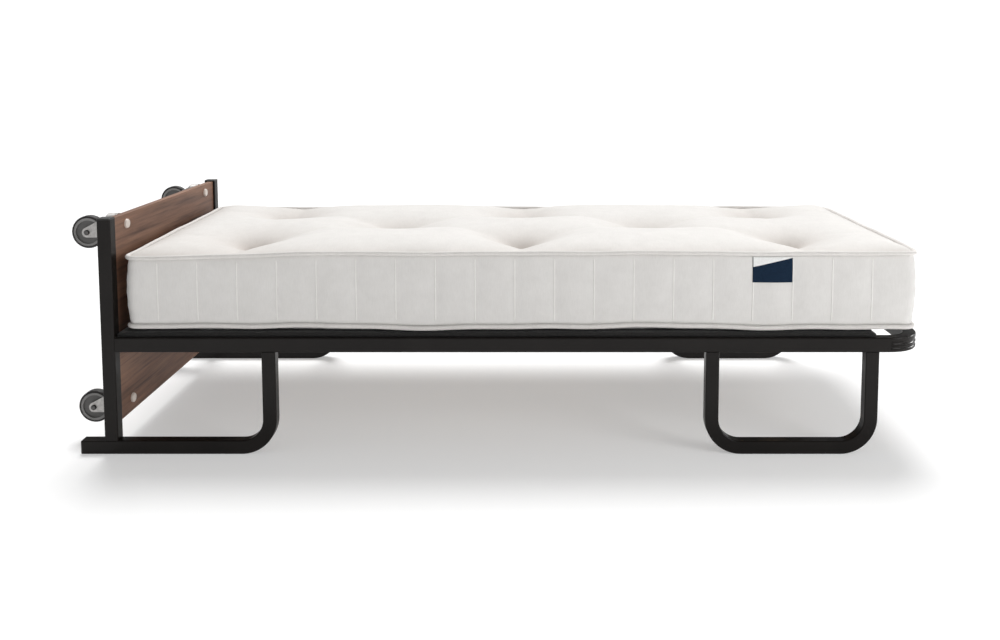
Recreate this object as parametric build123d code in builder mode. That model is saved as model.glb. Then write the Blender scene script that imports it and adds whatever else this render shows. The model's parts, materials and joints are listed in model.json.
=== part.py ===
"""Stand-up rollaway bed: tube frame on skid legs, head board with four castors, tufted mattress.

Frame: millimetres, +X to the foot end, +Z up, the floor is Z = 0, and the origin is on the floor
under the middle of the whole object. The bed lies ready for sleeping. For storage it is tipped
up on its head end and rolls on the castors behind the head board.
"""
import os

from build123d import *

os.makedirs("parts", exist_ok=True)

# ---------------------------------------------------------------- driving dimensions
overall_length = 2061.0
overall_width = 780.0
wheel_overhang = 104.0          # reach of the castor wheels behind the head posts
tube_width = 30.0               # every frame tube, across the bed
tube_wall = 1.5
tube_corner = 3.0

rail_top = 284.0
rail_height = 35.0
foot_outer_radius = 85.0
foot_rail_start = 117.0         # the bent foot rail takes over from the side rail here
groove_radius = 5.0             # pressed grooves round the outside of the foot bends
groove_depth = 2.4
groove_heights = (21.5, 11.0)   # above the underside of the rail

post_depth = 32.0               # along the bed
post_top = 566.0
cap_height = 4.0

skid_thickness = 33.0
skid_overhang = 55.0            # runner's reach behind the head post
plug_thickness = 3.0
skid_leg_x = 395.25             # centre of the upright, from the back of the head post
skid_outer_radius = 85.0

loop_thickness = 32.0
loop_leg_xs = (1450.0, 1829.5)  # centres of the two uprights, from the back of the head post
loop_outer_radius = 87.0

board_thickness = 18.0
board_recess = 8.0              # board's back face, in from the back of the posts
board_round = 1.5
board_bottom = 70.0
board_top = 565.0
dowel_radius = 4.0
dowel_heights = (140.0, 320.0, 500.0)

castor_side = 105.0             # swivel axis, in from the bed's side
castor_heights = (541.0, 103.0)
castor_trail = 20.0             # the axle hangs this far below the swivel axis
axle_reach = 72.0               # axle, out from the board's back face
wheel_radius = 40.0
wheel_width = 24.0
hub_radius = 34.8
race_radius = 26.0
king_radius = 5.0
axle_radius = 4.0
running_gap = 0.05              # radial clearance at the king bolt and at the axle
fork_inner = 14.0               # half the gap between the fork's legs
fork_sheet = 2.5

slat_count = 12
slat_width = 53.0
slat_thickness = 8.0
slat_first = 150.0
slat_pitch = 146.0
holder_length = 64.0
holder_reach = 24.0
holder_height = 14.0
holder_corner = 2.0
slat_round = 2.5
slat_inset = 4.0
cross_rail_height = 20.0
head_cross_gap = 8.0            # head cross rail, in front of the head posts

pad_thickness = 8.0
pad_start = 35.0
pad_end = 1840.0
pad_inset = 12.0
pad_corner = 6.0

mattress_start = 45.0
mattress_length = 1900.0
mattress_width = 750.0
mattress_corner = 48.0
border_height = 169.0
border_thickness = 12.0
panel_height = 19.0             # each panel stands this far proud of its seam
crown_inset = 60.0
underside_edge = 8.0
piping_radius = 5.0
tuft_radius = 11.0
tuft_height = 4.0
tuft_recess = 14.0
tuft_clearance = 3.0            # round each tuft in its recess
tuft_pitch = 350.0
least_corner = 12.0
label_length = 95.0
label_height = 61.0
label_thickness = 0.8
label_start = 1545.0            # from the back of the head post
label_bottom = 409.0

# ---------------------------------------------------------------- derived positions
half_width = overall_width / 2
post_back = wheel_overhang - overall_length / 2
foot_face = overall_length / 2
rail_bottom = rail_top - rail_height
rail_middle = rail_top - rail_height / 2
tube_centre_y = half_width - tube_width / 2
clear_half = half_width - tube_width          # inner faces of the side rails
board_back = post_back + board_recess
board_front = board_back + board_thickness
board_middle = (board_back + board_front) / 2
castor_y = half_width - castor_side
mattress_bottom = rail_top + pad_thickness
lower_seam = mattress_bottom + panel_height
upper_seam = lower_seam + border_height
mattress_top = upper_seam + panel_height
mattress_middle = post_back + mattress_start + mattress_length / 2
piping_gap = 0.1
cover_inset = 2 * piping_radius
cover_length = mattress_length - 2 * cover_inset
cover_width = mattress_width - 2 * cover_inset
cover_corner = mattress_corner - cover_inset

sides = {"left": -1, "right": 1}
levels = {"upper": castor_heights[0], "lower": castor_heights[1]}


def write(piece, name):
    """Label a finished piece and store it."""
    piece.label = name
    export_step(piece, f"parts/{name}.step")


def tube_section(plane, width, height):
    """Rolled rectangular tube wall, drawn on the given plane."""
    with BuildSketch(plane) as section:
        RectangleRounded(width, height, tube_corner)
        RectangleRounded(
            width - 2 * tube_wall, height - 2 * tube_wall, tube_corner - tube_wall, mode=Mode.SUBTRACT
        )
    return section.sketch


def straight_tube(plane, width, height, length):
    """A straight length of tube, from the plane along its normal."""
    with BuildPart() as tube:
        extrude(tube_section(plane, width, height), amount=length, dir=plane.z_dir)
    return tube.part


def bent_tube(points, radius, plane, width, height):
    """Tube that follows straight runs joined by bends of one centreline radius."""
    with BuildPart() as tube:
        with BuildLine() as route:
            FilletPolyline(*points, radius=radius)
        add(tube_section(plane, width, height))
        sweep(path=route.line)
    return tube.part


# ---------------------------------------------------------------- frame: side rails and foot rail
side_rail_length = foot_face - foot_rail_start - post_back - post_depth
for side, sign in sides.items():
    rail_plane = Plane(
        origin=(post_back + post_depth, sign * tube_centre_y, rail_middle), x_dir=(0, 1, 0), z_dir=(1, 0, 0)
    )
    write(straight_tube(rail_plane, tube_width, rail_height, side_rail_length), f"side_rail_{side}")

foot_start_x = foot_face - foot_rail_start
foot_tube_x = foot_face - tube_width / 2
bend_centre_x = foot_face - foot_outer_radius
bend_centre_y = half_width - foot_outer_radius
foot_bend_radius = foot_outer_radius - tube_width / 2
groove_centre_radius = foot_outer_radius + groove_radius - groove_depth
# In the bends the hollow keeps clear of the pressed grooves.
bend_hollow_width = tube_width - 2 * tube_wall - groove_depth
bend_hollow_radius = foot_bend_radius - groove_depth / 2

foot_route = [
    (foot_start_x, -tube_centre_y, rail_middle),
    (foot_tube_x, -tube_centre_y, rail_middle),
    (foot_tube_x, tube_centre_y, rail_middle),
    (foot_start_x, tube_centre_y, rail_middle),
]
with BuildPart() as foot_rail:
    with BuildLine() as foot_line:
        FilletPolyline(*foot_route, radius=foot_bend_radius)
    with BuildSketch(Plane(origin=foot_route[0], x_dir=(0, 1, 0), z_dir=(1, 0, 0))):
        RectangleRounded(tube_width, rail_height, tube_corner)
    sweep(path=foot_line.line)
    # hollow of the straight stretches
    for sign in (-1, 1):
        with BuildSketch(
            Plane(
                origin=(foot_start_x, sign * tube_centre_y, rail_middle),
                x_dir=(0, 1, 0),
                z_dir=(1, 0, 0),
            )
        ):
            RectangleRounded(
                tube_width - 2 * tube_wall, rail_height - 2 * tube_wall, tube_corner - tube_wall
            )
        extrude(amount=foot_rail_start - foot_outer_radius, mode=Mode.SUBTRACT)
    with BuildSketch(
        Plane(origin=(foot_tube_x, -bend_centre_y, rail_middle), x_dir=(1, 0, 0), z_dir=(0, 1, 0))
    ):
        RectangleRounded(tube_width - 2 * tube_wall, rail_height - 2 * tube_wall, tube_corner - tube_wall)
    extrude(amount=2 * bend_centre_y, mode=Mode.SUBTRACT)
    for sign in (-1, 1):
        # hollow of the bend, swept a quarter turn about the bend's centre
        bend_axis = Axis((bend_centre_x, sign * bend_centre_y, 0), (0, 0, sign))
        with BuildSketch(
            Plane(
                origin=(bend_centre_x, sign * (bend_centre_y + bend_hollow_radius), rail_middle),
                x_dir=(0, 1, 0),
                z_dir=(1, 0, 0),
            )
        ):
            RectangleRounded(
                bend_hollow_width, rail_height - 2 * tube_wall, tube_corner - tube_wall
            )
        revolve(axis=bend_axis, revolution_arc=-90, mode=Mode.SUBTRACT)
        # two grooves pressed into the outside of the bend
        with BuildSketch(
            Plane(
                origin=(bend_centre_x, sign * (bend_centre_y + groove_centre_radius), rail_bottom),
                x_dir=(0, 1, 0),
                z_dir=(1, 0, 0),
            )
        ):
            with Locations([(0, height) for height in groove_heights]):
                Circle(groove_radius)
        revolve(axis=bend_axis, revolution_arc=-90, mode=Mode.SUBTRACT)
write(foot_rail.part, "foot_rail")

# ---------------------------------------------------------------- frame: posts, skid legs, loops
post_x = post_back + post_depth / 2
skid_route_z = skid_thickness / 2
skid_leg_centre = post_back + skid_leg_x
loop_route_z = loop_thickness / 2
loop_head_x, loop_foot_x = (post_back + x for x in loop_leg_xs)
for side, sign in sides.items():
    y = sign * tube_centre_y
    post_plane = Plane(origin=(post_x, y, skid_thickness), x_dir=(1, 0, 0), z_dir=(0, 0, 1))
    post = straight_tube(post_plane, post_depth, tube_width, post_top - skid_thickness)
    dowel_seats = [
        Pos(board_middle, sign * (clear_half + tube_wall), height)
        * Rot(90, 0, 0)
        * Cylinder(dowel_radius, 4 * tube_wall)
        for height in dowel_heights
    ]
    write(post - dowel_seats, f"head_post_{side}")

    skid_start = post_back - skid_overhang
    skid_points = [
        (skid_start, y, skid_route_z),
        (skid_leg_centre, y, skid_route_z),
        (skid_leg_centre, y, rail_bottom),
    ]
    skid_plane = Plane(origin=skid_points[0], x_dir=(0, 1, 0), z_dir=(1, 0, 0))
    skid = bent_tube(
        skid_points, skid_outer_radius - skid_thickness / 2, skid_plane, tube_width, skid_thickness
    )
    write(skid, f"head_skid_leg_{side}")

    loop_points = [
        (loop_head_x, y, rail_bottom),
        (loop_head_x, y, loop_route_z),
        (loop_foot_x, y, loop_route_z),
        (loop_foot_x, y, rail_bottom),
    ]
    loop_plane = Plane(origin=loop_points[0], x_dir=(0, 1, 0), z_dir=(0, 0, -1))
    loop = bent_tube(
        loop_points, loop_outer_radius - loop_thickness / 2, loop_plane, tube_width, loop_thickness
    )
    write(loop, f"foot_leg_loop_{side}")

# ---------------------------------------------------------------- frame: cross rails
cross_length = 2 * clear_half
head_cross_x = post_back + post_depth + head_cross_gap + tube_width / 2
head_cross_plane = Plane(origin=(head_cross_x, -clear_half, rail_middle), x_dir=(1, 0, 0), z_dir=(0, 1, 0))
write(straight_tube(head_cross_plane, tube_width, rail_height, cross_length), "head_cross_rail")

cross_rail_xs = {"head_leg": skid_leg_centre, "middle": loop_head_x, "foot_leg": loop_foot_x}
cross_rail_middle = rail_bottom + cross_rail_height / 2
for place, x in cross_rail_xs.items():
    cross_plane = Plane(origin=(x, -clear_half, cross_rail_middle), x_dir=(1, 0, 0), z_dir=(0, 1, 0))
    write(straight_tube(cross_plane, tube_width, cross_rail_height, cross_length), f"cross_rail_{place}")

# ---------------------------------------------------------------- plastic end caps and plugs
plug_gap = 0.1
insert_depth = 15.0
cap_edge = 2.5
with BuildPart() as post_caps:
    with BuildSketch(Plane.XY.offset(post_top)):
        with Locations([(post_x, sign * tube_centre_y) for sign in sides.values()]):
            RectangleRounded(post_depth, tube_width, tube_corner)
    extrude(amount=cap_height)
    fillet(post_caps.faces().sort_by(Axis.Z)[-2:].edges(), cap_edge)
    with BuildSketch(Plane.XY.offset(post_top)):
        with Locations([(post_x, sign * tube_centre_y) for sign in sides.values()]):
            insert = 2 * (tube_wall + plug_gap)
            RectangleRounded(post_depth - insert, tube_width - insert, tube_corner - tube_wall)
    extrude(amount=-insert_depth)
write(post_caps.part, "post_caps")

with BuildPart() as runner_end_plugs:
    with BuildSketch(Plane.YZ.offset(post_back - skid_overhang)):
        with Locations([(sign * tube_centre_y, skid_route_z) for sign in sides.values()]):
            RectangleRounded(tube_width, skid_thickness, tube_corner)
    extrude(amount=-plug_thickness)
    chamfer(runner_end_plugs.faces().sort_by(Axis.X)[:2].edges(), plug_thickness / 2)
    with BuildSketch(Plane.YZ.offset(post_back - skid_overhang)):
        with Locations([(sign * tube_centre_y, skid_route_z) for sign in sides.values()]):
            insert = 2 * (tube_wall + plug_gap)
            RectangleRounded(tube_width - insert, skid_thickness - insert, tube_corner - tube_wall)
    extrude(amount=insert_depth)
write(runner_end_plugs.part, "runner_end_plugs")

# ---------------------------------------------------------------- head board and its dowels
dowel_length = 40.0
dowel_in_post = 2 * tube_wall
castor_centres = [(sign * castor_y, z) for z in castor_heights for sign in sides.values()]
dowel_places = [
    Pos(board_middle, sign * (clear_half + dowel_in_post - dowel_length / 2), height) * Rot(90, 0, 0)
    for height in dowel_heights
    for sign in sides.values()
]
with BuildPart() as head_board:
    with BuildSketch(Plane.YZ.offset(board_back)):
        with Locations((0, (board_bottom + board_top) / 2)):
            Rectangle(2 * clear_half, board_top - board_bottom)
    extrude(amount=board_thickness)
    fillet(head_board.edges().filter_by(Axis.Y), board_round)
    with BuildSketch(Plane.YZ.offset(board_back)):
        with Locations(castor_centres):
            Circle(king_radius)
    extrude(amount=board_thickness, mode=Mode.SUBTRACT)
    with Locations(dowel_places):
        Cylinder(dowel_radius, dowel_length, mode=Mode.SUBTRACT)
write(head_board.part, "head_board")

with BuildPart() as board_dowels:
    with Locations(dowel_places):
        Cylinder(dowel_radius, dowel_length)
write(board_dowels.part, "board_dowels")

# ---------------------------------------------------------------- castors: fixed pieces on the board
race_flange = 2.5
race_neck_radius = 20.0
crown_stand = 23.0                     # inner face of the fork's crown plate, off the board
crown_thickness = 3.0
crown_inner = board_back - crown_stand
crown_outer = crown_inner - crown_thickness
race_gap = 0.3                         # between the race and the crown plate
race_tip = crown_inner + race_gap
nut_across_flats = 16.0
nut_height = 4.0
cap_radius = 11.5
cap_wall = 1.2
cap_rise = 6.2
cap_dome = 4.0
cap_draft = 10.0
bolt_head_radius = 8.5
bolt_head_height = 4.5
bolt_head_chamfer = 1.5
bolt_head_gap = 0.2                    # between the bolt's head and the crown plate
bolt_stand = 4.6                       # bolt's end, beyond the front of the board


def turned(points, centre_y, centre_z):
    """Ring turned about the swivel axis. Points are (x, radius)."""
    plane = Plane(origin=(0, centre_y, centre_z), x_dir=(1, 0, 0), z_dir=(0, -1, 0))
    with BuildPart() as ring:
        with BuildSketch(plane):
            with BuildLine():
                Polyline(*points, close=True)
            make_face()
        revolve(axis=Axis((0, centre_y, centre_z), (1, 0, 0)))
    return ring.part


race_points = [
    (board_back, king_radius),
    (board_back, race_radius),
    (board_back - race_flange, race_radius),
    (board_back - race_flange, race_neck_radius),
    (race_tip, race_neck_radius),
    (race_tip, king_radius),
]
write(Compound([turned(race_points, y, z).solid() for y, z in castor_centres]), "castor_top_races")

head_seat = crown_outer - bolt_head_gap
head_top = head_seat - bolt_head_height
bolt_points = [
    (head_top, 0),
    (head_top, bolt_head_radius - bolt_head_chamfer),
    (head_top + bolt_head_chamfer, bolt_head_radius),
    (head_seat, bolt_head_radius),
    (head_seat, king_radius),
    (board_front + bolt_stand, king_radius),
    (board_front + bolt_stand, 0),
]
write(Compound([turned(bolt_points, y, z).solid() for y, z in castor_centres]), "castor_king_bolts")

with BuildPart() as castor_nuts:
    with BuildSketch(Plane.YZ.offset(board_front)):
        with Locations(castor_centres):
            RegularPolygon(nut_across_flats / 2, 6, major_radius=False)
            Circle(king_radius, mode=Mode.SUBTRACT)
    extrude(amount=nut_height)
write(castor_nuts.part, "castor_nuts")

with BuildPart() as castor_bolt_caps:
    with BuildSketch(Plane.YZ.offset(board_front)):
        with Locations(castor_centres):
            Circle(cap_radius)
    extrude(amount=cap_rise)
    fillet(castor_bolt_caps.faces().group_by(Axis.X)[-1].edges(), cap_dome)
    with BuildSketch(Plane.YZ.offset(board_front)):
        with Locations(castor_centres):
            Circle(cap_radius - cap_wall)
    extrude(amount=cap_rise - cap_wall, taper=cap_draft, mode=Mode.SUBTRACT)
write(castor_bolt_caps.part, "castor_bolt_caps")

# ---------------------------------------------------------------- castors: forks, axles, wheels
axle_x = board_back - axle_reach
fork_outer = fork_inner + fork_sheet
fork_tip_radius = 12.0
fork_toe_depth = 12.0           # the fork's lower edge reaches this far along the crown
fork_heel_drop = 1.0
skirt_inner_radius = race_radius - fork_sheet
skirt_gap = 1.0                 # between the fork's skirt and the race's flange
skirt_end = board_back - race_flange - skirt_gap
axle_head_radius = 6.5
axle_head_height = 4.0
axle_head_chamfer = 1.5
hub_side_gap = 0.4              # between the barrel and each leg of the fork
hub_barrel_radius = 12.0
hub_barrel_half = fork_inner - hub_side_gap
hub_web_half = 8.0
hub_ring_radius = 29.0
hub_ring_half = 11.0
tyre_shoulder = 5.0


def wheel_plane(centre):
    """Plane whose X is the radius and whose Y is the axle."""
    return Plane(origin=centre, x_dir=(1, 0, 0), z_dir=(0, 0, 1))


def castor_fork(y, z):
    """Pressed fork: a cup over the race and two legs that hang down to the axle."""
    side_plane = Plane(origin=(0, y, z), x_dir=(1, 0, 0), z_dir=(0, -1, 0))
    swivel = Axis((0, y, z), (1, 0, 0))
    with BuildPart() as fork:
        with BuildSketch(side_plane):
            with Locations((axle_x, -castor_trail)):
                Circle(fork_tip_radius)
            with BuildLine():
                Polyline(
                    (crown_outer - fork_toe_depth, -castor_trail - fork_tip_radius),
                    (crown_inner, -castor_trail - fork_heel_drop),
                    (crown_inner, castor_trail),
                    close=True,
                )
            make_face()
            make_hull()
        extrude(amount=fork_outer, both=True)
        with BuildSketch(Plane(origin=(crown_outer, y, z), x_dir=(0, 1, 0), z_dir=(-1, 0, 0))):
            Rectangle(2 * fork_inner, 4 * wheel_radius)
        extrude(amount=2 * axle_reach, mode=Mode.SUBTRACT)
        with BuildSketch(side_plane):
            with BuildLine():
                Polyline(
                    (crown_outer, 0),
                    (crown_outer, race_radius - fork_sheet),
                    (crown_outer + fork_sheet, race_radius),
                    (skirt_end, race_radius),
                    (skirt_end, 0),
                    close=True,
                )
            make_face()
        revolve(axis=swivel)
        with BuildSketch(side_plane):
            with BuildLine():
                Polyline(
                    (crown_inner, 0),
                    (crown_inner, skirt_inner_radius),
                    (board_back, skirt_inner_radius),
                    (board_back, 0),
                    close=True,
                )
            make_face()
        revolve(axis=swivel, mode=Mode.SUBTRACT)
        with BuildSketch(Plane(origin=(crown_outer, y, z), x_dir=(0, 1, 0), z_dir=(1, 0, 0))):
            Circle(king_radius + running_gap)
        extrude(amount=crown_inner - crown_outer, mode=Mode.SUBTRACT)
        with BuildSketch(side_plane):
            with Locations((axle_x, -castor_trail)):
                Circle(axle_radius)
        extrude(amount=fork_outer, both=True, mode=Mode.SUBTRACT)
    return fork.part


def castor_axle(centre):
    """Axle bolt with a domed head at each end."""
    tip = fork_outer + axle_head_height
    with BuildPart() as axle:
        with BuildSketch(wheel_plane(centre)):
            with BuildLine():
                Polyline(
                    (0, -tip),
                    (axle_head_radius - axle_head_chamfer, -tip),
                    (axle_head_radius, -tip + axle_head_chamfer),
                    (axle_head_radius, -fork_outer),
                    (axle_radius, -fork_outer),
                    (axle_radius, fork_outer),
                    (axle_head_radius, fork_outer),
                    (axle_head_radius, tip - axle_head_chamfer),
                    (axle_head_radius - axle_head_chamfer, tip),
                    (0, tip),
                    close=True,
                )
            make_face()
        revolve(axis=Axis(centre, (0, 1, 0)))
    return axle.part


def castor_hub(centre):
    """Moulded hub: barrel, recessed web and raised outer ring."""
    with BuildPart() as hub:
        with BuildSketch(wheel_plane(centre)):
            bore = axle_radius + running_gap
            for inner, outer, half in (
                (bore, hub_barrel_radius, hub_barrel_half),
                (hub_barrel_radius, hub_ring_radius, hub_web_half),
                (hub_ring_radius, hub_radius, hub_ring_half),
            ):
                with Locations(((inner + outer) / 2, 0)):
                    Rectangle(outer - inner, 2 * half)
        revolve(axis=Axis(centre, (0, 1, 0)))
    return hub.part


def castor_tyre(centre):
    """Solid rubber tyre with round shoulders."""
    with BuildPart() as tyre:
        with BuildSketch(wheel_plane(centre)) as section:
            with Locations(((hub_radius + wheel_radius) / 2, 0)):
                Rectangle(wheel_radius - hub_radius, wheel_width)
            fillet(section.vertices().group_by(Axis.X)[-1], tyre_shoulder)
        revolve(axis=Axis(centre, (0, 1, 0)))
    return tyre.part


for level, z in levels.items():
    for side, sign in sides.items():
        y = sign * castor_y
        wheel_centre = (axle_x, y, z - castor_trail)
        write(castor_fork(y, z), f"castor_fork_{level}_{side}")
        write(castor_axle(wheel_centre), f"castor_axle_{level}_{side}")
        write(castor_hub(wheel_centre), f"castor_hub_{level}_{side}")
        write(castor_tyre(wheel_centre), f"castor_tyre_{level}_{side}")

# ---------------------------------------------------------------- deck: slats, holders, felt pad
slat_half = clear_half - slat_inset
slat_xs = [post_back + slat_first + i * slat_pitch for i in range(slat_count)]
for number, x in enumerate(slat_xs, start=1):
    with BuildPart() as slat:
        with BuildSketch(Plane.XY.offset(rail_top - slat_thickness)):
            with Locations((x, 0)):
                Rectangle(slat_width, 2 * slat_half)
        extrude(amount=slat_thickness)
        fillet(slat.edges().filter_by(Axis.Y), slat_round)
    write(slat.part, f"slat_{number:02d}")

with BuildPart() as slat_holders:
    with BuildSketch(Plane.XY.offset(rail_top - holder_height)):
        with Locations([(x, s * (clear_half - holder_reach / 2)) for x in slat_xs for s in (-1, 1)]):
            RectangleRounded(holder_length, holder_reach, holder_corner)
    extrude(amount=holder_height)
    with BuildSketch(Plane.XY.offset(rail_top - slat_thickness)):
        with Locations([(x, 0) for x in slat_xs]):
            Rectangle(slat_width, 2 * slat_half)
    extrude(amount=slat_thickness, mode=Mode.SUBTRACT)
write(slat_holders.part, "slat_holders")

with BuildPart() as deck_felt_pad:
    with BuildSketch(Plane.XY.offset(rail_top)):
        with Locations((post_back + (pad_start + pad_end) / 2, 0)):
            RectangleRounded(pad_end - pad_start, overall_width - 2 * pad_inset, pad_corner)
    extrude(amount=pad_thickness)
write(deck_felt_pad.part, "deck_felt_pad")

# ---------------------------------------------------------------- mattress
tuft_spots = []
for column in range(-2, 3):
    row_offsets = (-1, 1) if column % 2 == 0 else (0,)
    for row in row_offsets:
        tuft_spots.append((mattress_middle + column * tuft_pitch, row * mattress_width / 4))


def mattress_plan(height, inset=0.0, hollow=0.0):
    """Plan of the cover at one height, with rounded corners."""
    with BuildSketch(Plane.XY.offset(height)) as plan:
        with Locations((mattress_middle, 0)):
            corner = max(cover_corner - inset, least_corner)
            RectangleRounded(cover_length - 2 * inset, cover_width - 2 * inset, corner)
            if hollow:
                inner_corner = max(corner - hollow, least_corner)
                RectangleRounded(
                    cover_length - 2 * hollow, cover_width - 2 * hollow, inner_corner, mode=Mode.SUBTRACT
                )
    return plan.sketch


with BuildPart() as mattress_bottom_panel:
    add(mattress_plan(mattress_bottom))
    extrude(amount=panel_height)
    fillet(mattress_bottom_panel.faces().sort_by(Axis.Z)[0].edges(), underside_edge)
write(mattress_bottom_panel.part, "mattress_bottom_panel")

with BuildPart() as mattress_border:
    add(mattress_plan(lower_seam, hollow=border_thickness))
    extrude(amount=border_height)
write(mattress_border.part, "mattress_border")

with BuildPart() as mattress_core:
    add(mattress_plan(lower_seam, inset=border_thickness))
    extrude(amount=border_height)
write(mattress_core.part, "mattress_core")

with BuildPart() as mattress_top_panel:
    add(mattress_plan(upper_seam))
    add(mattress_plan(mattress_top, inset=crown_inset))
    loft()
    with BuildSketch(Plane.XY.offset(mattress_top)):
        with Locations(tuft_spots):
            Circle(tuft_radius + tuft_clearance)
    extrude(amount=-tuft_recess, mode=Mode.SUBTRACT)
write(mattress_top_panel.part, "mattress_top_panel")

tuft_base = mattress_top - tuft_recess
with BuildPart() as mattress_tufts:
    with BuildSketch(Plane.XY.offset(tuft_base)):
        with Locations(tuft_spots):
            Circle(tuft_radius)
    extrude(amount=tuft_height)
write(mattress_tufts.part, "mattress_tufts")


def mattress_piping(height):
    """Round piping sewn along the seam between border and panel."""
    reach = piping_radius + piping_gap
    with BuildPart() as piping:
        with BuildSketch(Plane.XY.offset(height), mode=Mode.PRIVATE) as outline:
            with Locations((mattress_middle, 0)):
                RectangleRounded(cover_length + 2 * reach, cover_width + 2 * reach, cover_corner + reach)
        seam = outline.sketch.face().outer_wire()
        with BuildSketch(Plane(origin=seam @ 0, z_dir=seam % 0)):
            Circle(piping_radius)
        sweep(path=seam)
    return piping.part


write(mattress_piping(upper_seam), "mattress_piping_top")
write(mattress_piping(lower_seam), "mattress_piping_bottom")

with BuildPart() as mattress_label:
    with BuildSketch(Plane.XZ.offset(cover_width / 2)):
        with Locations((post_back + label_start + label_length / 2, label_bottom + label_height / 2)):
            Rectangle(label_length, label_height)
    extrude(amount=label_thickness)
write(mattress_label.part, "mattress_label")
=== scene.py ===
"""Looks of the stand-up rollaway bed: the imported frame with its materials, and the soft mattress."""
import json
import math

import bmesh
import bpy
import numpy as np
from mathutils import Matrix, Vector
from mathutils.bvhtree import BVHTree


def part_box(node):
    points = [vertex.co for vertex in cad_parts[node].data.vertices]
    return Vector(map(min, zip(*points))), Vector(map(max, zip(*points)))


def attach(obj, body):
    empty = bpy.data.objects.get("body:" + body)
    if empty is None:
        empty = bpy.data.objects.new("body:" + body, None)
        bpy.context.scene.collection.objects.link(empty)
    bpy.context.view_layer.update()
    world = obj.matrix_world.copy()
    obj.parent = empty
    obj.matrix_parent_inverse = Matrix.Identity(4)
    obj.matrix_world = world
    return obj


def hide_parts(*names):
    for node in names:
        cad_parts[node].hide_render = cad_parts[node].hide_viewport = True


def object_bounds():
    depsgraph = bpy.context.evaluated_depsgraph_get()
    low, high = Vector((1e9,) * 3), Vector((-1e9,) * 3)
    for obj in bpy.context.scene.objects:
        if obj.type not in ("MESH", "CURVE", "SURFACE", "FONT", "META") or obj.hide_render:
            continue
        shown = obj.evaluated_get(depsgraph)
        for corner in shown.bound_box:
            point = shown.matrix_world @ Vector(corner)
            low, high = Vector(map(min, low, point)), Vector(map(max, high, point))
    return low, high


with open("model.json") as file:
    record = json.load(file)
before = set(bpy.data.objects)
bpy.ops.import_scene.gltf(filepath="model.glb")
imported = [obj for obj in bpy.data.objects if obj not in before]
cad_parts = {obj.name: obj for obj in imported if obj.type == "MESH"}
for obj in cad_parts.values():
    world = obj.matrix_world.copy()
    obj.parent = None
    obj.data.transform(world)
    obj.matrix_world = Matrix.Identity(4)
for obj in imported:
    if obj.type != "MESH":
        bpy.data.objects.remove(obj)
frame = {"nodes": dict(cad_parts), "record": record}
cad_low, cad_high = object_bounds()
nodes = frame["nodes"]
root_body = "bed_frame"


def add_object(name, data):
    """A new object in the scene."""
    made = bpy.data.objects.new(name, data)
    bpy.context.scene.collection.objects.link(made)
    return made


# ---------------------------------------------------------------- camera
sensor_width = 36.0
lens = 34.47
camera_gap = 2.2185             # from the bed's near side
camera_height = 0.9284
camera_from_castors = 1.1195    # along the bed, from the tip of the castor wheels
camera_pitch = math.radians(5.0)
lens_left = 0.0297              # lens shift, in picture widths
lens_down = 0.1714

camera_data = bpy.data.cameras.new("camera")
camera_data.sensor_width = sensor_width
camera_data.lens = lens
camera_data.shift_x = -lens_left
camera_data.shift_y = -lens_down
camera = add_object("camera", camera_data)
camera.location = (cad_low.x + camera_from_castors, cad_low.y - camera_gap, camera_height)
camera.rotation_euler = (math.pi / 2 - camera_pitch, 0, 0)
bpy.context.scene.camera = camera

# ---------------------------------------------------------------- material helpers
white = (1.0, 1.0, 1.0)
unstretched = (1.0, 1.0, 1.0)


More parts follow.
